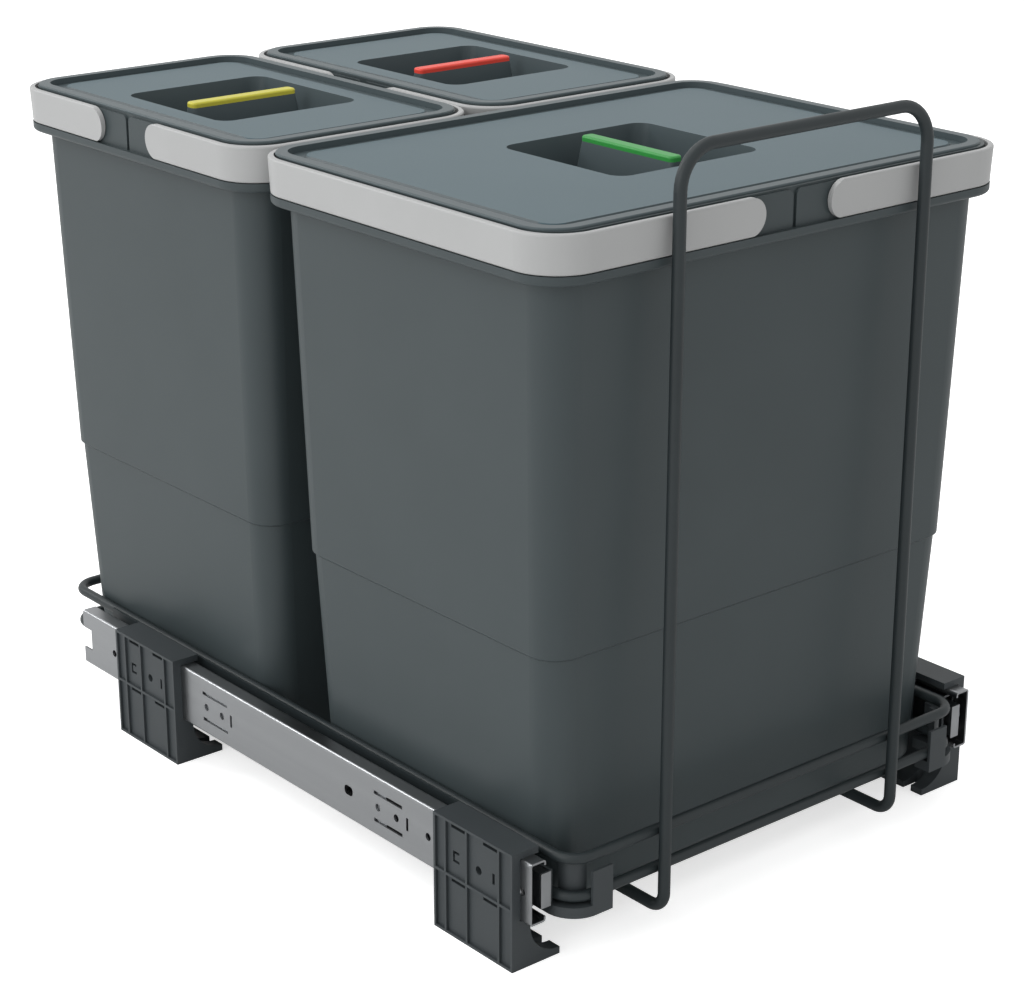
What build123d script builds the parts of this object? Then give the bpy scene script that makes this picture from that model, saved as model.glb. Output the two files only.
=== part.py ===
from build123d import *
import os

# Pull-out waste bin unit for the floor of a kitchen base cabinet.
# X runs to the right, Y runs back into the cabinet and Z up, in millimetres.
# Y is counted back from the front faces of the front brackets while the pieces are made.
# At the end each piece is shifted along Y, so that the origin is under the middle of the unit.

# Cabinet and rail brackets
cabinet_clear_width = 364.0
bracket_length = 68.0
rear_bracket_start = 331.3
bracket_plate = 5.6
cover_thickness = 4.1
cover_reach = 18.5
shelf_reach = 13.0
shelf_curve_top = 23.5
foot_reach = 34.0
foot_thickness = 4.2
foot_slot_width = 6.1
foot_slot_inset = 8.8
foot_slot_depth = 14.0
cell_depth = 1.6
cell_frame = 1.6
rib_thickness = 1.6
rib_offsets = (10.9, 38.5, 57.0)
cross_rib_height = 36.4
vent_length = 12.0
vent_height = 2.6
vent_drop = 0.6
vent_gap = 1.8
screw_hole = 5.0
screw_hole_inset = 30.2
feature_height = 49.5
catch_slot_inset = 46.9
catch_slot_width = 1.6
catch_slot_height = 7.0
catch_slot_arm = 4.8
key_slot_width = 2.0
key_slot_height = 6.6
key_slot_inset = 17.5
rivet_hole_play = 0.05
rail_rivet = 3.2
rail_rivet_insets = (6.0, 62.0)
rail_rivet_cover = 1.0

# Rolled steel rails of the two slides
sheet = 1.2
roll_radius = 1.8
rail_bottom = 29.8
rail_height = 37.5
rail_start = -8.5
rail_length = 458.0
rail_depth = 10.9
rail_lip = 3.25
rail_notch_length = 9.5
rail_notch_height = 14.8
outer_ball = 3.95
outer_ball_depth = 6.0
inner_ball = 2.9
inner_ball_depth = 8.6
race_play = 0.1
middle_web_gap = 1.0
middle_reach = 11.5
middle_lip = 3.2
middle_start = 1.2
middle_length = 440.0
inner_back = 14.5
inner_tip = 7.6
inner_length = 439.3
end_plate_half = 10.5
end_stop_length = 8.0
cage_sheet = 0.6
cage_arm = 0.8
outer_cage_gap = 0.2
inner_cage_gap = 0.4
outer_cage_tip = 9.0
inner_cage_tip = 10.1
outer_cage_start = 120.0
inner_cage_start = 110.0
cage_length = 205.0
ball_count = 8
ball_pitch = 10.0
cage_margin = 7.0
ball_hole_play = 0.08
web_slot_height = 2.2
web_slot_rise = 8.75
web_slots = ((103.5, 26.5), (280.0, 27.0))
key_slots = (98.9, 276.0)
web_slot_end_height = 8.0
web_hole = 4.6
web_holes = (-1.7, 79.8, 109.1, 126.3, 286.0, 303.0, 411.5)
web_window_at = 154.5
web_window_length = 8.0
web_window_height = 6.0
web_window_corner = 2.5

# Wire basket and handle
wire = 6.2
handle_wire = 7.0
ring_front = -16.3
ring_back = 496.8
ring_corner = 14.0
upper_ring_height = 64.0
lower_ring_height = 41.0
handle_half_width = 91.9
handle_height = 443.5
handle_corner = 22.0
handle_bend = 10.5
runner_height = 16.6
support_wires_at = (40.0, 180.0, 300.0, 440.0)
support_bend = 8.0

# Side plates, rivets and corner clips of the basket
plate_thickness = 1.5
plate_start = 20.0
plate_end = 440.0
plate_margin = 3.0
pad_diameter = 11.0
pad_thickness = 2.8
pads_at = (60.0, 230.0, 400.0)
rivet_shank = 4.0
rivet_head = 7.6
rivet_head_thickness = 1.2
clip_proud = 4.9
clip_near = 11.8
clip_far = 26.1
clip_bottom = 30.0
clip_shelf = 36.4
clip_tab_top = 57.0
clip_inner_wall = 3.4
clip_play = 0.05

# Bins: plan sizes are those of the carrying bails' outer faces, clear of the cabinet's sides
bin_side_room = 9.1
big_bin_depth = 258.4
big_bin_front = -17.8
small_bin_gap = 1.5
bin_row_gap = 3.0
rim_corner = 28.5
bin_wall = 1.8
bin_floor_thickness = 2.0
bin_bottom_round = 4.5
body_corner_top = 20.0
body_corner_bottom = 18.0
inset_at_floor = 23.4
inset_below_step = 17.6
inset_above_step = 16.2
inset_at_flange = 10.7
step_height = 173.0
step_rise = 1.4
flange_inset = 0.9
flange_thickness = 2.5
flange_skirt = 3.0
flange_skirt_drop = 5.5
flange_round = 2.4
collar_inset = 5.4
collar_thickness = 2.8
panel_thickness = 1.6
panel_drop = 1.0
panel_slit = 2.5
panel_corner = 3.6

# Carrying bails
bail_height = 21.4
bail_thickness = 3.4
bail_taper = 1.1
bail_bottom = 387.2
bail_gap = 49.0
bail_round = 1.3
bail_seat = 0.2
pin_diameter = 6.0
pin_play = 0.05

# Lids
lid_rise = 0.3
lid_bead_height = 1.4
lid_bead_inset = 6.0
lid_bead_width = 7.0
lid_bead_round = 1.05
lid_skirt_bottom = 398.0
lid_wall = 1.7
groove_floor = 406.6
groove_width = 8.0
plateau_height = 408.3
plateau_slope = 1.2
plateau_corner = 10.0
recess_width = 108.0
recess_length = 100.8
recess_corner = 10.0
recess_depth = 24.0
recess_slope = 3.0
grip_length = 76.0
grip_width = 9.0
grip_flare = 3.0
strip_thickness = 3.2
strip_rise = 1.9
strip_round = 1.4
lid_slip = (-1.1, 1.5)

# Worked out from the sizes above
outer_half = cabinet_clear_width / 2
rail_half = rail_height / 2
rail_middle = rail_bottom + rail_half
rail_top = rail_bottom + rail_height
bracket_height = rail_top + cover_thickness
rail_face = outer_half - bracket_plate
outer_ball_rise = rail_half - sheet - race_play - outer_ball / 2
middle_half = outer_ball_rise - outer_ball / 2 - race_play
inner_ball_rise = middle_half - sheet - race_play - inner_ball / 2
inner_half = inner_ball_rise - inner_ball / 2 - race_play
middle_web = sheet + middle_web_gap
inner_face = rail_face - inner_back
wire_radius = wire / 2
handle_radius = handle_wire / 2
ring_half_width = inner_face - pad_thickness - plate_thickness - wire_radius
ring_width = 2 * ring_half_width
ring_depth = ring_back - ring_front
ring_middle = (ring_front + ring_back) / 2
ring_outside = ring_half_width + wire_radius
handle_plane = ring_front - wire_radius - handle_radius
handle_back = ring_back - wire_radius - handle_radius
support_height = runner_height + handle_radius + wire_radius
bin_floor = support_height + wire_radius
flange_top = bail_bottom - bail_seat
bail_top = bail_bottom + bail_height
bail_middle = bail_bottom + bail_height / 2
bail_radius = bail_height / 2
pivot_offset = bail_gap / 2 + bail_radius
collar_top = bail_top + lid_rise
bead_top = collar_top + lid_bead_height
strip_top = plateau_height + strip_rise
strip_bottom = strip_top - strip_thickness
recess_floor = plateau_height - recess_depth
pan_floor = recess_floor - lid_wall
plateau_inset = lid_bead_inset + lid_bead_width + groove_width
big_bin_width = cabinet_clear_width - 2 * bin_side_room
small_bin_width = (big_bin_width - small_bin_gap) / 2
small_bin_depth = big_bin_depth
big_bin_middle = big_bin_front + big_bin_depth / 2
small_bin_middle = big_bin_front + big_bin_depth + bin_row_gap + small_bin_depth / 2
unit_front = handle_plane - handle_radius
unit_back = small_bin_middle + small_bin_depth / 2
centre_shift = -(unit_front + unit_back) / 2


def polygon(points):
    """Face inside a closed run of straight lines."""
    return make_face(Polyline(*points, close=True))


def along_y(face, start, length):
    """Solid made by running a face drawn in X and Z back along Y."""
    return Pos(0, start, 0) * extrude(Plane.XZ * face, amount=length, dir=(0, 1, 0))


def box_between(low, high):
    """Block between its lowest and its highest corner."""
    size = [high[axis] - low[axis] for axis in range(3)]
    centre = [(high[axis] + low[axis]) / 2 for axis in range(3)]
    return Pos(*centre) * Box(*size)


def rod_x(y, z, diameter, x_start, x_end):
    """Round rod along X."""
    rod = Rot(0, 90, 0) * Cylinder(diameter / 2, abs(x_end - x_start))
    return Pos((x_start + x_end) / 2, y, z) * rod


def rod_y(x, z, diameter, y_start, y_end):
    """Round rod along Y."""
    rod = Rot(90, 0, 0) * Cylinder(diameter / 2, abs(y_end - y_start))
    return Pos(x, (y_start + y_end) / 2, z) * rod


def on_side(solid, side):
    """The same solid on the right for side 1, or mirrored to the left for side -1."""
    return solid if side > 0 else mirror(solid, about=Plane.YZ)


def bracket(start):
    """Plastic bracket on the right that carries the rail, with a slotted foot towards the middle."""
    shelf = outer_half - shelf_reach
    cover = outer_half - cover_reach
    tip = outer_half - foot_reach
    bow = 1 - 0.5 ** 0.5
    curve = (shelf - (shelf - tip) * bow, foot_thickness + (shelf_curve_top - foot_thickness) * bow)
    edge = Polyline(
        (tip, foot_thickness), (tip, 0), (outer_half, 0), (outer_half, bracket_height),
        (cover, bracket_height), (cover, rail_top), (rail_face, rail_top), (rail_face, rail_bottom),
        (shelf, rail_bottom), (shelf, shelf_curve_top))
    sweep_in = ThreePointArc((shelf, shelf_curve_top), curve, (tip, foot_thickness))
    body = along_y(make_face(edge + sweep_in), start, bracket_length)
    stations = [cell_frame, *rib_offsets, bracket_length - cell_frame]
    floors = ((cell_frame, cross_rib_height), (cross_rib_height + rib_thickness, bracket_height - cell_frame))
    for first, last in zip(stations, stations[1:]):
        near = start + first + (rib_thickness if first in rib_offsets else 0)
        for low, high in floors:
            cell_face = outer_half - cell_depth
            body -= box_between((cell_face, near, low), (outer_half, start + last, high))
    for first in rib_offsets[:2]:
        near = start + first + rib_thickness + vent_gap
        for low, high in floors:
            top = high - vent_drop
            body -= box_between((rail_face, near, top - vent_height), (outer_half, near + vent_length, top))
    body -= rod_x(start + screw_hole_inset, feature_height, screw_hole, rail_face, outer_half)
    for inset, width, height in ((key_slot_inset, key_slot_width, key_slot_height),
                                 (catch_slot_inset + catch_slot_arm, catch_slot_width, catch_slot_height)):
        body -= box_between((rail_face, start + inset - width / 2, feature_height - height / 2),
                            (outer_half, start + inset + width / 2, feature_height + height / 2))
    for sign in (-1, 1):
        middle = feature_height + sign * (catch_slot_height - catch_slot_width) / 2
        body -= box_between((rail_face, start + catch_slot_inset, middle - catch_slot_width / 2),
                            (outer_half, start + catch_slot_inset + catch_slot_arm, middle + catch_slot_width / 2))
    for inset in rail_rivet_insets:
        body -= rod_x(start + inset, rail_middle, rail_rivet, rail_face, outer_half - cell_depth - rail_rivet_cover)
    slot_radius = foot_slot_width / 2
    for near in (foot_slot_inset, bracket_length - foot_slot_inset - foot_slot_width):
        middle = start + near + slot_radius
        slot_end = tip + foot_slot_depth - slot_radius
        body -= box_between((tip, middle - slot_radius, 0), (slot_end, middle + slot_radius, rail_bottom))
        body -= Pos(slot_end, middle, rail_bottom / 2) * Cylinder(slot_radius, rail_bottom)
    return body


def rail_rivets():
    """Flush rivets that hold the outer rails in their brackets."""
    rivets = []
    for side in (-1, 1):
        for start in (0, rear_bracket_start):
            for inset in rail_rivet_insets:
                rivet = rod_x(start + inset, rail_middle, rail_rivet - 2 * rivet_hole_play,
                              rail_face - sheet, outer_half - cell_depth - rail_rivet_cover)
                rivets.append(on_side(rivet, side))
    return Compound(children=rivets)


def channel(web, tip, half, lip):
    """Section of a rolled rail on the right, by depths in from the outer rail's face."""
    turn = 1 if tip > web else -1
    back = rail_face - web
    back_in = back - turn * sheet
    edge = rail_face - tip
    edge_in = edge + turn * sheet
    upper = [(back, half), (edge, half), (edge, half - lip), (edge_in, half - lip)]
    upper += [(edge_in, half - sheet), (back_in, half - sheet)]
    lower = [(x, -z) for x, z in reversed(upper)]
    section = polygon(upper + lower)
    outside = [v for v in section.vertices() if abs(abs(v.Y) - half) < roll_radius / 10]
    section = fillet(outside, roll_radius)
    corners = [v for v in section.vertices() if abs(abs(v.Y) - half + sheet) < roll_radius / 10]
    inside = [v for v in corners if min(abs(v.X - back_in), abs(v.X - edge_in)) < roll_radius / 10]
    section = fillet(inside, roll_radius - sheet)
    return Pos(0, rail_middle) * section


def web_window(web):
    """Rounded window through the webs of a slide when it is shut, at a depth in from the outer rail's face."""
    outline = Plane.YZ * RectangleRounded(web_window_length, web_window_height, web_window_corner)
    return Pos(rail_face - web - sheet, web_window_at, rail_middle) * extrude(outline, amount=sheet)


def plain_channel(web, tip, half):
    """Section of the innermost rail, whose flanges have no lips."""
    back = rail_face - web
    back_in = back + sheet
    edge = rail_face - tip
    upper = [(back, half), (edge, half), (edge, half - sheet), (back_in, half - sheet)]
    lower = [(x, -z) for x, z in reversed(upper)]
    return Pos(0, rail_middle) * polygon(upper + lower)


def outer_rail():
    """Fixed rail with its punched holes, slots and rear notch."""
    body = along_y(channel(0, rail_depth, rail_half, rail_lip), rail_start, rail_length)
    rail_end = rail_start + rail_length
    web_in = rail_face - sheet
    for near, length in web_slots:
        for rise in (-web_slot_rise, web_slot_rise):
            height = rail_middle + rise
            body -= box_between((web_in, near, height - web_slot_height / 2),
                                (rail_face, near + length, height + web_slot_height / 2))
    for at in key_slots:
        body -= box_between((web_in, at - key_slot_width / 2, rail_middle - web_slot_end_height / 2),
                            (rail_face, at + key_slot_width / 2, rail_middle + web_slot_end_height / 2))
    for at in web_holes:
        body -= rod_x(at, rail_middle, web_hole, web_in, rail_face)
    body -= web_window(0)
    for start in (0, rear_bracket_start):
        body -= rod_x(start + screw_hole_inset, feature_height, screw_hole, web_in, rail_face)
        for inset in rail_rivet_insets:
            body -= rod_x(start + inset, rail_middle, rail_rivet, web_in, rail_face)
    body -= box_between((web_in, rail_end - rail_notch_length, rail_middle - rail_notch_height / 2),
                        (rail_face, rail_end, rail_middle + rail_notch_height / 2))
    return body


def middle_rail():
    """Rail between the fixed rail and the basket's rail."""
    section = channel(middle_web, middle_reach, middle_half, middle_lip)
    return along_y(section, middle_start, middle_length) - web_window(middle_web)


def inner_rail():
    """Rail that the basket is riveted to; its web runs on past the stop to a front end plate."""
    section = plain_channel(inner_back, inner_tip, inner_half)
    stop_front = rail_start + sheet
    stop_back = stop_front + end_stop_length
    body = along_y(section, stop_back, inner_length)
    body += box_between((inner_face, stop_front, rail_middle - inner_half),
                        (inner_face + sheet, stop_back, rail_middle + inner_half))
    body += box_between((inner_face, rail_start, rail_middle - end_plate_half),
                        (rail_face - inner_tip, stop_front, rail_middle + end_plate_half))
    for at in pads_at:
        body -= rod_x(at, rail_middle, rivet_shank, inner_face, inner_face + sheet)
    return body


def end_stop():
    """Plastic stop behind the inner rail's end plate, which the middle rail meets when shut."""
    stop_front = rail_start + sheet
    return box_between((inner_face + sheet, stop_front, rail_middle - end_plate_half),
                       (rail_face - inner_tip, stop_front + end_stop_length, rail_middle + end_plate_half))


def ball_places(start):
    """Y of the balls of one row, with half of them near each end of the cage."""
    insets = [cage_margin + ball_pitch * index for index in range(ball_count // 2)]
    front = [start + inset for inset in insets]
    back = [start + cage_length - inset for inset in insets]
    return front + back


def ball_cage(web, tip, rise, ball, depth, start):
    """Thin strip bent round the rail, with a hole for each ball of both rows."""
    arm = rise + cage_arm / 2
    back = rail_face - web
    back_in = back - cage_sheet
    edge = rail_face - tip
    upper = [(back, arm), (edge, arm), (edge, arm - cage_arm), (back_in, arm - cage_arm)]
    lower = [(x, -z) for x, z in reversed(upper)]
    body = along_y(Pos(0, rail_middle) * polygon(upper + lower), start, cage_length)
    for at in ball_places(start):
        for sign in (-1, 1):
            hole = Cylinder(ball / 2 + ball_hole_play, 2 * cage_arm)
            body -= Pos(rail_face - depth, at, rail_middle + sign * rise) * hole
    return body - web_window(web)


def balls(rise, ball, depth, start, side):
    """Both rows of balls of one cage."""
    row = []
    for at in ball_places(start):
        for sign in (-1, 1):
            row.append(Pos(side * (rail_face - depth), at, rail_middle + sign * rise) * Sphere(ball / 2))
    return Compound(children=row)


def ring(height):
    """Wire bent into a rounded rectangle round the bins."""
    path = (Pos(0, ring_middle, height) * RectangleRounded(ring_width, ring_depth, ring_corner)).wire()
    section = Plane(origin=path @ 0, z_dir=path % 0) * Circle(wire_radius)
    return sweep(section, path=path)


def handle():
    """One wire: rear posts, runners under the bins, front legs and the grip across the top."""
    post_top = upper_ring_height + wire_radius
    points = [
        (-handle_half_width, handle_back, post_top), (-handle_half_width, handle_back, runner_height),
        (-handle_half_width, handle_plane, runner_height), (-handle_half_width, handle_plane, handle_height)]
    points += [(-x, y, z) for x, y, z in reversed(points)]
    path = FilletPolyline(*points, radius=[handle_bend, handle_bend, handle_corner,
                                           handle_corner, handle_bend, handle_bend])
    section = Plane(origin=path @ 0, z_dir=path % 0) * Circle(handle_radius)
    return sweep(section, path=path)


def support_wire(at):
    """Wire across the runners, turned up at both ends to the lower ring."""
    top = lower_ring_height - wire_radius
    points = [(-ring_half_width, at, top), (-ring_half_width, at, support_height),
              (ring_half_width, at, support_height), (ring_half_width, at, top)]
    path = FilletPolyline(*points, radius=support_bend)
    section = Plane(origin=path @ 0, z_dir=path % 0) * Circle(wire_radius)
    return sweep(section, path=path)


def side_plate():
    """Steel strip welded to both rings, with pads that meet the inner rail."""
    low = lower_ring_height - plate_margin
    high = upper_ring_height + plate_margin
    body = box_between((ring_outside, plate_start, low),
                       (ring_outside + plate_thickness, plate_end, high))
    for at in pads_at:
        body += rod_x(at, rail_middle, pad_diameter, ring_outside + plate_thickness, inner_face)
        body -= rod_x(at, rail_middle, rivet_shank, ring_outside, inner_face)
    return body


def plate_rivets():
    """Rivets through the inner rails and the pads of the side plates."""
    rivets = []
    for side in (-1, 1):
        for at in pads_at:
            tail = ring_outside - rivet_head_thickness
            rail_side = inner_face + sheet
            rivet = rod_x(at, rail_middle, rivet_shank - 2 * rivet_hole_play, ring_outside, rail_side)
            rivet += rod_x(at, rail_middle, rivet_head, tail, ring_outside)
            rivet += rod_x(at, rail_middle, rivet_head, rail_side, rail_side + rivet_head_thickness)
            rivets.append(on_side(rivet, side))
    return Compound(children=rivets)


def corner_frame(proud, low, high):
    """Block as large as a ring grown by a margin, with the ring's rounded corners."""
    plan = RectangleRounded(ring_width + 2 * proud, ring_depth + 2 * proud, ring_corner + proud)
    return Pos(0, ring_middle, low) * extrude(plan, amount=high - low)


def corner_clip():
    """Plastic clip on the front right corner of the lower ring, with a post up to the upper ring."""
    inner = -wire_radius - clip_play - clip_inner_wall
    post_top = upper_ring_height - wire_radius
    reach_x = ring_half_width + clip_proud
    reach_y = ring_front - clip_proud
    corner = box_between((ring_half_width - clip_far, reach_y, clip_bottom),
                         (reach_x, ring_front + clip_far, post_top))
    bend = box_between((ring_half_width - ring_corner, reach_y, clip_bottom),
                       (reach_x, ring_front + ring_corner, post_top))
    cup = corner_frame(clip_proud, clip_bottom, clip_shelf) - corner_frame(inner, clip_bottom, clip_shelf)
    post = corner_frame(-wire_radius - clip_play, clip_shelf, post_top)
    post -= corner_frame(inner, clip_shelf, post_top)
    wire_side = wire_radius + clip_play
    tabs = corner_frame(clip_proud, clip_bottom, clip_tab_top) - corner_frame(wire_side, clip_bottom, clip_tab_top)
    tab_x = box_between((ring_half_width - clip_far, reach_y, clip_bottom),
                        (ring_half_width - clip_near, ring_front, clip_tab_top))
    tab_y = box_between((ring_half_width, ring_front + clip_near, clip_bottom),
                        (reach_x, ring_front + clip_far, clip_tab_top))
    body = (cup & corner) + (post & bend) + (tabs & tab_x) + (tabs & tab_y)
    groove = Pos(0, ring_middle, lower_ring_height) * RectangleRounded(ring_width, ring_depth, ring_corner)
    path = groove.wire()
    section = Plane(origin=path @ 0, z_dir=path % 0) * Circle(wire_radius + clip_play)
    return body - sweep(section, path=path)


def plan(width, depth, inset, corner, height):
    """Rounded rectangle that lies inside a bin's plan by an inset."""
    outline = RectangleRounded(width - 2 * inset, depth - 2 * inset, corner)
    return Pos(0, 0, height) * outline


def prism(width, depth, inset, low, high):
    """Upright block with the rim's corners, inside a bin's plan by an inset."""
    return extrude(plan(width, depth, inset, rim_corner - inset, low), amount=high - low)


def taper_block(width, depth, grow, floor, round_radius):
    """Tapered body of a bin with its step, made smaller all round by a wall."""
    step_top = step_height + step_rise
    top = flange_top
    lower = loft([plan(width, depth, inset_at_floor + grow, body_corner_bottom - grow, floor),
                  plan(width, depth, inset_below_step + grow, body_corner_bottom - grow, step_height)])
    ledge = loft([plan(width, depth, inset_below_step + grow, body_corner_bottom - grow, step_height),
                  plan(width, depth, inset_above_step + grow, body_corner_bottom - grow, step_top)])
    upper = loft([plan(width, depth, inset_above_step + grow, body_corner_bottom - grow, step_top),
                  plan(width, depth, inset_at_flange + grow, body_corner_top - grow, top)])
    lower = fillet(lower.edges().group_by(Axis.Z)[0], round_radius)
    return lower + ledge + upper


def bin_body(width, depth):
    """Bin with flange, collar and the two hinge panels on its front and back."""
    hollow_edge = inset_at_flange + bin_wall
    body = taper_block(width, depth, 0, bin_floor, bin_bottom_round)
    skirt_bottom = flange_top - flange_skirt_drop
    flange = prism(width, depth, flange_inset, skirt_bottom, flange_top)
    flange = fillet(flange.edges().group_by(Axis.Z)[0], flange_round)
    flange -= prism(width, depth, flange_inset + flange_skirt, skirt_bottom, flange_top - flange_thickness)
    body += flange
    body -= taper_block(width, depth, bin_wall, bin_floor + bin_floor_thickness,
                        bin_bottom_round - bin_wall)
    body += prism(width, depth, collar_inset, flange_top, collar_top)
    body -= prism(width, depth, collar_inset + collar_thickness, flange_top, collar_top)
    panel_half = width / 2 - rim_corner
    for side in (-1, 1):
        face = side * (depth / 2 - collar_inset)
        near, far = sorted((face, face + side * panel_thickness))
        panel_top = bail_top - panel_drop
        panel = box_between((panel_slit / 2, near, flange_top), (panel_half, far, panel_top))
        by_slit = panel.edges().filter_by(Axis.Y).group_by(Axis.Z)[-1].sort_by(Axis.X)[0]
        panel = fillet(by_slit, panel_corner)
        body = body + panel + mirror(panel, about=Plane.YZ)
        inside = face - side * collar_thickness
        outside = face + side * panel_thickness
        for hand in (-1, 1):
            body -= rod_y(hand * pivot_offset, bail_middle, pin_diameter + 2 * pin_play, inside, outside)
    return body


def bail(width, depth, hand):
    """Carrying bail round one half of the rim, on two pins in the hinge panels."""
    band = loft([plan(width, depth, bail_taper, rim_corner - bail_taper, bail_bottom),
                 plan(width, depth, 0, rim_corner, bail_top)])
    rim_edges = band.edges().group_by(Axis.Z)
    band = fillet(rim_edges[0] + rim_edges[-1], bail_round)
    band -= prism(width, depth, bail_thickness, bail_bottom, bail_top)
    pivot = hand * pivot_offset
    far = hand * width / 2
    low_x, high_x = sorted((pivot, far))
    half = box_between((low_x, -depth / 2, bail_bottom), (high_x, depth / 2, bail_top))
    ends = rod_y(pivot, bail_middle, bail_height, -depth / 2, depth / 2)
    band = band & (half + ends)
    for side in (-1, 1):
        inner = side * (depth / 2 - bail_thickness)
        pin_end = side * (depth / 2 - collar_inset - collar_thickness)
        band += rod_y(pivot, bail_middle, pin_diameter, inner, pin_end)
    return band


def lid(width, depth):
    """Lid with bead, groove, raised panel and a recess with a grip bar across it."""
    under = collar_top
    wall_inset = lid_bead_inset + lid_bead_width
    bead = prism(width, depth, lid_bead_inset, under, bead_top)
    bead = fillet(bead.edges().group_by(Axis.Z)[-1], lid_bead_round)
    wall = prism(width, depth, wall_inset - lid_wall, lid_skirt_bottom, under)
    wall -= prism(width, depth, wall_inset, lid_skirt_bottom, under)
    body = bead - prism(width, depth, wall_inset, under, bead_top) + wall
    floor_low = groove_floor - lid_wall
    body += prism(width, depth, wall_inset, floor_low, groove_floor)
    base = plan(width, depth, plateau_inset, plateau_corner, groove_floor)
    crown = plan(width, depth, plateau_inset + plateau_slope, plateau_corner, plateau_height)
    body += loft([base, crown])
    under_base = plan(width, depth, plateau_inset + lid_wall, plateau_corner - lid_wall, floor_low)
    under_crown = plan(width, depth, plateau_inset + plateau_slope + lid_wall, plateau_corner - lid_wall,
                       plateau_height - lid_wall)
    body -= loft([under_base, under_crown])
    body += recess_block(lid_wall, pan_floor)
    body -= recess_block(0, recess_floor)
    grip_low = Pos(0, 0, recess_floor) * RectangleRounded(grip_width + 2 * grip_flare,
                                                          grip_length + 2 * grip_flare, grip_flare)
    grip_high = Pos(0, 0, strip_bottom) * RectangleRounded(grip_width, grip_length, grip_flare)
    return body + loft([grip_low, grip_high])


def recess_block(grow, floor):
    """Tapered block of the lid's recess, grown by a wall and run down to a floor."""
    top = Pos(0, 0, plateau_height) * RectangleRounded(
        recess_width + 2 * grow, recess_length + 2 * grow, recess_corner + grow)
    bottom = Pos(0, 0, floor) * RectangleRounded(
        recess_width - 2 * recess_slope + 2 * grow, recess_length - 2 * recess_slope + 2 * grow,
        recess_corner - recess_slope + grow)
    return loft([bottom, top])


def grip_strip():
    """Coloured strip on top of the grip bar."""
    outline = RectangleRounded(grip_width, grip_length, grip_flare)
    strip = Pos(0, 0, strip_bottom) * extrude(outline, amount=strip_thickness)
    return fillet(strip.edges().group_by(Axis.Z)[-1], strip_round)


def write(name, solid):
    """Shift a finished piece so that the unit is centred over the origin, and save it."""
    export_step(Pos(0, centre_shift, 0) * solid, f"parts/{name}.step")


def write_slides():
    """Brackets, rails, cages and balls on both sides."""
    for side, hand in ((-1, "left"), (1, "right")):
        write(f"front_{hand}_bracket", on_side(bracket(0), side))
        write(f"rear_{hand}_bracket", on_side(bracket(rear_bracket_start), side))
        write(f"{hand}_outer_rail", on_side(outer_rail(), side))
        write(f"{hand}_middle_rail", on_side(middle_rail(), side))
        write(f"{hand}_inner_rail", on_side(inner_rail(), side))
        write(f"{hand}_end_stop", on_side(end_stop(), side))
        outer = (outer_ball_rise, outer_ball, outer_ball_depth, outer_cage_start)
        inner = (inner_ball_rise, inner_ball, inner_ball_depth, inner_cage_start)
        outer_web = sheet + outer_cage_gap
        inner_web = middle_web + sheet + inner_cage_gap
        write(f"{hand}_outer_cage", on_side(ball_cage(outer_web, outer_cage_tip, *outer), side))
        write(f"{hand}_inner_cage", on_side(ball_cage(inner_web, inner_cage_tip, *inner), side))
        write(f"{hand}_outer_balls", balls(*outer, side))
        write(f"{hand}_inner_balls", balls(*inner, side))
    write("rail_rivets", rail_rivets())


def write_basket():
    """Rings, handle, support wires, side plates, rivets and corner clips."""
    write("upper_ring", ring(upper_ring_height))
    write("lower_ring", ring(lower_ring_height))
    write("handle", handle())
    write("support_wires", Compound(children=[support_wire(at) for at in support_wires_at]))
    write("plate_rivets", plate_rivets())
    for side, hand in ((-1, "left"), (1, "right")):
        write(f"{hand}_side_plate", on_side(side_plate(), side))
        write(f"{hand}_corner_clip", on_side(corner_clip(), side))


def write_bin(name, width, depth, place, slip, hands):
    """One bin with its lid, grip strip and two bails."""
    lid_place = Pos(slip[0], slip[1], 0) * place
    write(f"{name}_bin", place * bin_body(width, depth))
    write(f"{name}_lid", lid_place * lid(width, depth))
    write(f"{name}_grip_strip", lid_place * grip_strip())
    for hand, word in zip((-1, 1), hands):
        write(f"{name}_bin_{word}_bail", place * bail(width, depth, hand))


os.makedirs("parts", exist_ok=True)
write_slides()
write_basket()
write_bin("front", big_bin_width, big_bin_depth, Pos(0, big_bin_middle, 0), lid_slip, ("left", "right"))
small_x = (small_bin_gap + small_bin_width) / 2
for side, hand in ((-1, "left"), (1, "right")):
    turned = Pos(side * small_x, small_bin_middle, 0) * Rot(0, 0, 90)
    write_bin(f"rear_{hand}", small_bin_depth, small_bin_width, turned, (0, 0), ("front", "back"))
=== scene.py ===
import math
import bpy
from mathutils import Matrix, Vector

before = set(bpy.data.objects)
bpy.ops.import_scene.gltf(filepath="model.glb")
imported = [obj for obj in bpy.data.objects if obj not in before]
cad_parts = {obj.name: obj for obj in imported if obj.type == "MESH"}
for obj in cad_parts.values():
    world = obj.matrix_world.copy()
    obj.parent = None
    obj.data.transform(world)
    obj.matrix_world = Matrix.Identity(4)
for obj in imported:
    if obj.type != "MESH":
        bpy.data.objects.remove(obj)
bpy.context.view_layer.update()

# Rail brackets: four dark grey mouldings of glass-filled nylon that stand on the cabinet floor and
# are screwed to its sides. The lightly textured tool leaves their faces dull and even, and its
# rounded edges catch a thin bright line.


def linear(code):
    """Linear RGBA of an sRGB hex colour."""
    channels = [int(code[i:i + 2], 16) / 255 for i in (0, 2, 4)]
    return [c / 12.92 if c <= 0.04045 else ((c + 0.055) / 1.055) ** 2.4 for c in channels] + [1.0]


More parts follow.
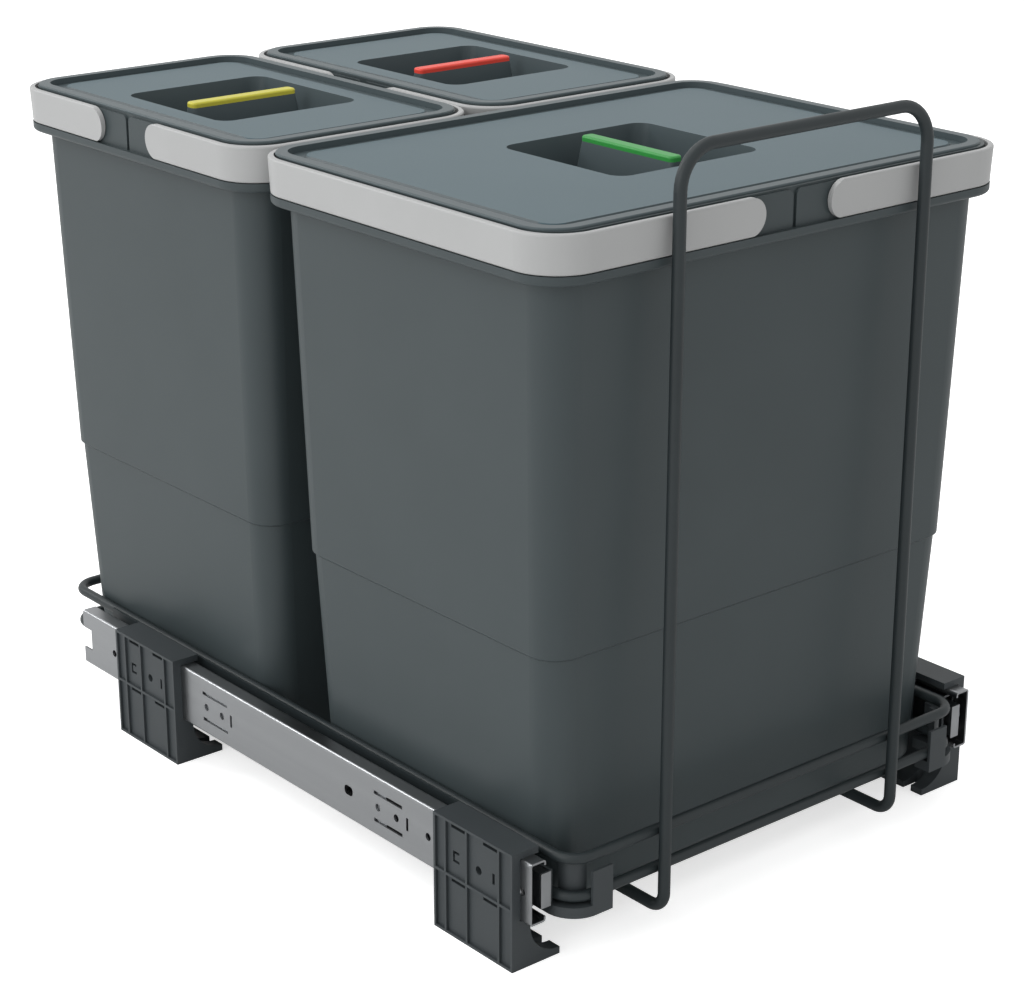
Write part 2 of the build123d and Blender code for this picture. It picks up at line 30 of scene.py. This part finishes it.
def add_node(material, kind, values=None, settings=None, links=None):
    """New shader node with its input values, its settings and the sockets that feed it."""
    node = material.node_tree.nodes.new(kind)
    for name, value in (settings or {}).items():
        setattr(node, name, value)
    for name, value in (values or {}).items():
        node.inputs[name].default_value = value
    for name, source in (links or {}).items():
        material.node_tree.links.new(source, node.inputs[name])
    return node


def surface(name, colours, roughness, gloss_spread, grain_mm, depth_mm, cloud_mm,
            metallic=0.0, specular=0.5, ior=1.5, squeeze=(1, 1, 1)):
    """Finish with broad clouds between two near colours, and a fine grain.

    The grain is drawn coarser than the real one, so that it shows in a render.
    """
    material = bpy.data.materials.new(name)
    material.use_nodes = True
    link = material.node_tree.links.new
    shader = material.node_tree.nodes["Principled BSDF"]
    shader.inputs["Metallic"].default_value = metallic
    shader.inputs["Specular IOR Level"].default_value = specular
    shader.inputs["IOR"].default_value = ior
    coords = add_node(material, "ShaderNodeTexCoord")
    in_mm = add_node(material, "ShaderNodeMapping", {"Scale": [1000 * s for s in squeeze]},
                     links={"Vector": coords.outputs["Object"]})
    grain = add_node(material, "ShaderNodeTexNoise",
                     {"Scale": 1 / grain_mm, "Detail": 3.0, "Roughness": 0.6},
                     links={"Vector": in_mm.outputs["Vector"]})
    clouds = add_node(material, "ShaderNodeTexNoise", {"Scale": 1 / cloud_mm, "Detail": 2.0},
                      links={"Vector": in_mm.outputs["Vector"]})
    tint = add_node(material, "ShaderNodeMixRGB",
                    {"Color1": linear(colours[0]), "Color2": linear(colours[1])},
                    links={"Fac": clouds.outputs["Fac"]})
    link(tint.outputs["Color"], shader.inputs["Base Color"])
    gloss = add_node(material, "ShaderNodeMapRange",
                     {"To Min": roughness - gloss_spread, "To Max": roughness + gloss_spread},
                     links={"Value": grain.outputs["Fac"]})
    link(gloss.outputs["Result"], shader.inputs["Roughness"])
    bump = add_node(material, "ShaderNodeBump", {"Strength": 1.0, "Distance": depth_mm / 1000},
                    links={"Height": grain.outputs["Fac"]})
    link(bump.outputs["Normal"], shader.inputs["Normal"])
    return material


def dress(names, material, edge_mm=0.0):
    """Finish of some CAD nodes, with their hard edges slightly rounded."""
    hard_edge_degrees = 35
    for name in names:
        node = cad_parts[name]
        node.data.materials.clear()
        node.data.materials.append(material)
        if edge_mm:
            edge = node.modifiers.new("soft_edges", "BEVEL")
            edge.width = edge_mm / 1000
            edge.segments = 2
            edge.limit_method = "ANGLE"
            edge.angle_limit = math.radians(hard_edge_degrees)


sides = ("left", "right")
filled_nylon = surface("textured_glass_filled_nylon", ("323739", "373c3f"), roughness=0.52,
                       gloss_spread=0.05, grain_mm=0.4, depth_mm=0.015, cloud_mm=30,
                       specular=0.3, ior=1.53)
dress([f"{row}_{side}_bracket" for row in ("front", "rear") for side in sides],
      filled_nylon, edge_mm=0.25)

# Slides: three rails a side, roll-formed from bright zinc-plated steel strip 1.2 mm thick; the
# fixed one is riveted to its brackets. Rolling draws the grain out along the rail, so highlights
# break up into fine lengthwise lines, and the rolled edge shows as one bright line.
zinc_strip = surface("bright_zinc_plated_rolled_steel", ("828486", "9a9c9e"), roughness=0.32,
                     gloss_spread=0.07, grain_mm=0.35, depth_mm=0.004, cloud_mm=14,
                     metallic=1.0, squeeze=(1, 0.02, 1))
dress([f"{side}_{kind}_rail" for side in sides for kind in ("outer", "middle", "inner")],
      zinc_strip, edge_mm=0.12)
dress([f"{side}_{kind}_cage" for side in sides for kind in ("outer", "inner")],
      zinc_strip)
dress(["rail_rivets", "plate_rivets"], zinc_strip)

# Balls: ground and polished bearing steel, loose in the holes of the cages.
# Polishing leaves next to no texture, so each one shows a small sharp highlight.
ball_steel = surface("polished_bearing_steel", ("c6c6c6", "cbcbcb"), roughness=0.08,
                     gloss_spread=0.02, grain_mm=0.5, depth_mm=0.0005, cloud_mm=5, metallic=1.0)
dress([f"{side}_{kind}_balls" for side in sides for kind in ("outer", "inner")],
      ball_steel)

# End stops: black moulded blocks behind the inner rails' front end plates, which the middle rails
# meet when the unit is shut. Plain acetal, a little waxy, so it stays almost black beside the steel.
black_acetal = surface("moulded_black_acetal", ("15171a", "1a1c1e"), roughness=0.48,
                       gloss_spread=0.05, grain_mm=0.5, depth_mm=0.01, cloud_mm=12,
                       specular=0.3, ior=1.48)
dress([side + "_end_stop" for side in sides], black_acetal, edge_mm=0.3)

# Basket: steel wire bent into two rings, a handle hoop and supports, welded to two side plates.
# Powder coated after welding, and baked powder dries with a very fine orange peel, so the
# wires show soft lengthwise highlights.
powder_coat = surface("dark_grey_powder_coat", ("23292b", "282f31"), roughness=0.46,
                      gloss_spread=0.04, grain_mm=0.9, depth_mm=0.02, cloud_mm=25, specular=0.3)
dress(["upper_ring", "lower_ring", "handle", "support_wires"], powder_coat)
dress([side + "_side_plate" for side in sides], powder_coat, edge_mm=0.2)

# Corner clips: mouldings of the same nylon as the brackets, snapped on the front corners of the
# lower ring. A post inside the bend reaches up to the upper ring.
dress([side + "_corner_clip" for side in sides], filled_nylon, edge_mm=0.3)

# Bins: injection moulded polypropylene with the fine spark-eroded texture of the tool.
# The walls are satin, so the broad soft lights show as long upright gradients.
bins = ("front", "rear_left", "rear_right")
moulded_bin = surface("spark_textured_dark_grey_polypropylene", ("353d3f", "3a4244"),
                      roughness=0.46, gloss_spread=0.04, grain_mm=0.5, depth_mm=0.012, cloud_mm=60,
                      specular=0.3, ior=1.49)
dress([name + "_bin" for name in bins], moulded_bin)

# Lids: moulded polypropylene laid loose on the bins' collars. The smooth raised panel mirrors a pale
# room at a low angle and looks light from the front; its blue-grey tint is painted reflection of a
# bluish room, masked onto the panel alone. The bead, the groove and the recess round it keep the
# lid's own darker grey, which in the groove also stands in as painted shade.
smooth_lid = surface("satin_grey_polypropylene_painted_blue_reflection", ("3b5057", "3f545b"), roughness=0.4,
                     gloss_spread=0.03, grain_mm=0.5, depth_mm=0.006, cloud_mm=60,
                     specular=0.2, ior=1.49)
# Mask of the raised panel's level, upward faces: only these get the blue-grey tint of painted
# reflection.
panel_low, panel_high = 407.9, 408.7
facing_up = 0.6
lid_coords = add_node(smooth_lid, "ShaderNodeTexCoord")
lid_place = add_node(smooth_lid, "ShaderNodeSeparateXYZ",
                     links={"Vector": lid_coords.outputs["Object"]})
lid_facing = add_node(smooth_lid, "ShaderNodeSeparateXYZ",
                      links={"Vector": lid_coords.outputs["Normal"]})
over = add_node(smooth_lid, "ShaderNodeMath", {1: panel_low / 1000}, {"operation": "GREATER_THAN"},
                {0: lid_place.outputs["Z"]})
under = add_node(smooth_lid, "ShaderNodeMath", {1: panel_high / 1000}, {"operation": "LESS_THAN"},
                 {0: lid_place.outputs["Z"]})
upward = add_node(smooth_lid, "ShaderNodeMath", {1: facing_up}, {"operation": "GREATER_THAN"},
                  {0: lid_facing.outputs["Z"]})
level = add_node(smooth_lid, "ShaderNodeMath", settings={"operation": "MULTIPLY"},
                 links={0: over.outputs["Value"], 1: under.outputs["Value"]})
painted_reflection_mask = add_node(smooth_lid, "ShaderNodeMath", settings={"operation": "MULTIPLY"},
                      links={0: level.outputs["Value"], 1: upward.outputs["Value"]})
lid_shader = smooth_lid.node_tree.nodes["Principled BSDF"]
painted_reflection_tint = lid_shader.inputs["Base Color"].links[0].from_socket
# Dark grey for everything off the panel: the lid's own colour, and in the groove also painted shade.
lid_colour = add_node(smooth_lid, "ShaderNodeMixRGB", {"Color1": linear("475154")},
                      links={"Fac": painted_reflection_mask.outputs["Value"], "Color2": painted_reflection_tint})
smooth_lid.node_tree.links.new(lid_colour.outputs["Color"], lid_shader.inputs["Base Color"])
dress([name + "_lid" for name in bins], smooth_lid, edge_mm=0.4)

# Grip strips: soft elastomer moulded over the grip bars, one colour for each kind of waste.
# It has a dull sheen and a slight unevenness in its colour.
strip_colours = {"front": ("green", "2a8638", "2f8e3e"), "rear_left": ("yellow", "b6af35", "beb83d"),
                 "rear_right": ("red", "d43d2f", "de4739")}
for name, (word, deep, pale) in strip_colours.items():
    soft_grip = surface(word + "_soft_touch_elastomer", (deep, pale), roughness=0.42,
                        gloss_spread=0.04, grain_mm=0.4, depth_mm=0.006, cloud_mm=20, specular=0.35)
    dress([name + "_grip_strip"], soft_grip)

# Carrying bails: light grey bands round half of each rim, snapped with two pins of their own into
# the bins' hinge panels. Moulded polypropylene, satin on the outside and warmer than the lids.
hands = {"front": ("left", "right"), "rear_left": ("front", "back"), "rear_right": ("front", "back")}
light_bail = surface("satin_light_grey_polypropylene", ("9b9c9c", "a2a3a3"), roughness=0.42,
                     gloss_spread=0.04, grain_mm=0.6, depth_mm=0.008, cloud_mm=50,
                     specular=0.35, ior=1.49)
dress([f"{name}_bin_{hand}_bail" for name in bins for hand in hands[name]],
      light_bail)

# Floor: a plain pale matt studio floor, lit a little more for the camera alone, so that it
# runs out white and keeps the soft contact shadow.
floor_reach = 6.0
camera_fill = 0.62
floor_mesh = bpy.data.meshes.new("studio_floor")
floor_mesh.from_pydata([(x * floor_reach, y * floor_reach, 0)
                        for x, y in ((-1, -1), (1, -1), (1, 1), (-1, 1))], [], [(0, 1, 2, 3)])
floor = bpy.data.objects.new("studio_floor", floor_mesh)
bpy.context.scene.collection.objects.link(floor)
floor_paint = bpy.data.materials.new("pale_matt_floor_paint")
floor_paint.use_nodes = True
floor_shader = floor_paint.node_tree.nodes["Principled BSDF"]
floor_shader.inputs["Base Color"].default_value = linear("f4f4f4")
floor_shader.inputs["Roughness"].default_value = 0.95
floor_shader.inputs["Specular IOR Level"].default_value = 0.0
floor_ray = add_node(floor_paint, "ShaderNodeLightPath")
fill_level = add_node(floor_paint, "ShaderNodeMath", {1: camera_fill}, {"operation": "MULTIPLY"},
                      {0: floor_ray.outputs["Is Camera Ray"]})
fill_glow = add_node(floor_paint, "ShaderNodeEmission", {"Color": (1, 1, 1, 1)},
                     links={"Strength": fill_level.outputs["Value"]})
floor_sum = add_node(floor_paint, "ShaderNodeAddShader",
                     links={0: floor_shader.outputs["BSDF"], 1: fill_glow.outputs["Emission"]})
floor_paint.node_tree.links.new(floor_sum.outputs["Shader"],
                                floor_paint.node_tree.nodes["Material Output"].inputs["Surface"])
floor_mesh.materials.append(floor_paint)

# Studio: white surroundings that the camera and the reflections see as plain white,
# with a broad soft light from the left, a weaker one overhead, and a small one behind on the
# left that draws a bright line along the rails' rolled edges.
room_light = 0.8
world = bpy.data.worlds.new("white_studio")
bpy.context.scene.world = world
world.use_nodes = True
surround = world.node_tree.nodes["Background"]
surround.inputs["Color"].default_value = (1, 1, 1, 1)
surround.inputs["Strength"].default_value = room_light
backdrop = add_node(world, "ShaderNodeBackground", {"Color": (1, 1, 1, 1), "Strength": 1.0})
seen = add_node(world, "ShaderNodeLightPath")
direct = add_node(world, "ShaderNodeMath", settings={"operation": "MAXIMUM"},
                  links={0: seen.outputs["Is Camera Ray"], 1: seen.outputs["Is Glossy Ray"]})
any_view = add_node(world, "ShaderNodeMath", settings={"operation": "MAXIMUM"},
                    links={0: direct.outputs["Value"], 1: seen.outputs["Is Transmission Ray"]})
choice = add_node(world, "ShaderNodeMixShader",
                  links={"Fac": any_view.outputs["Value"], 1: surround.outputs["Background"],
                         2: backdrop.outputs["Background"]})
world.node_tree.links.new(choice.outputs["Shader"],
                          world.node_tree.nodes["World Output"].inputs["Surface"])


def soft_light(name, spot, aim, size, watts):
    """Square area light of an edge length, aimed at a point."""
    lamp = bpy.data.lights.new(name, "AREA")
    lamp.shape = "SQUARE"
    lamp.size = size
    lamp.energy = watts
    stand = bpy.data.objects.new(name, lamp)
    stand.location = spot
    stand.rotation_euler = (Vector(aim) - Vector(spot)).to_track_quat("-Z", "Y").to_euler()
    bpy.context.scene.collection.objects.link(stand)


soft_light("left_softbox", spot=(-2.4, -0.2, 1.3), aim=(0, 0, 0.2), size=1.8, watts=22)
soft_light("overhead_softbox", spot=(-0.3, 0.6, 2.4), aim=(0, 0, 0.3), size=1.8, watts=15)
soft_light("rear_left_strip_box", spot=(-1.5, 2.4, 1.9), aim=(0, 0, 0.1), size=0.8, watts=22)

# Camera: 88.8 mm on a 36 mm wide sensor, from the front left and 20 degrees down,
# as in the photograph.
degrees_down, degrees_right = 20.220, 39.851
camera_data = bpy.data.cameras.new("camera")
camera_data.lens = 88.83
camera_data.sensor_width = 36.0
camera_data.sensor_fit = "HORIZONTAL"
camera = bpy.data.objects.new("camera", camera_data)
camera.location = (-0.9470, -1.1543, 0.7117)
camera.rotation_euler = (math.radians(90 - degrees_down), 0.0, math.radians(-degrees_right))
bpy.context.scene.collection.objects.link(camera)
bpy.context.scene.camera = camera
bpy.context.scene.view_settings.view_transform = "Standard"
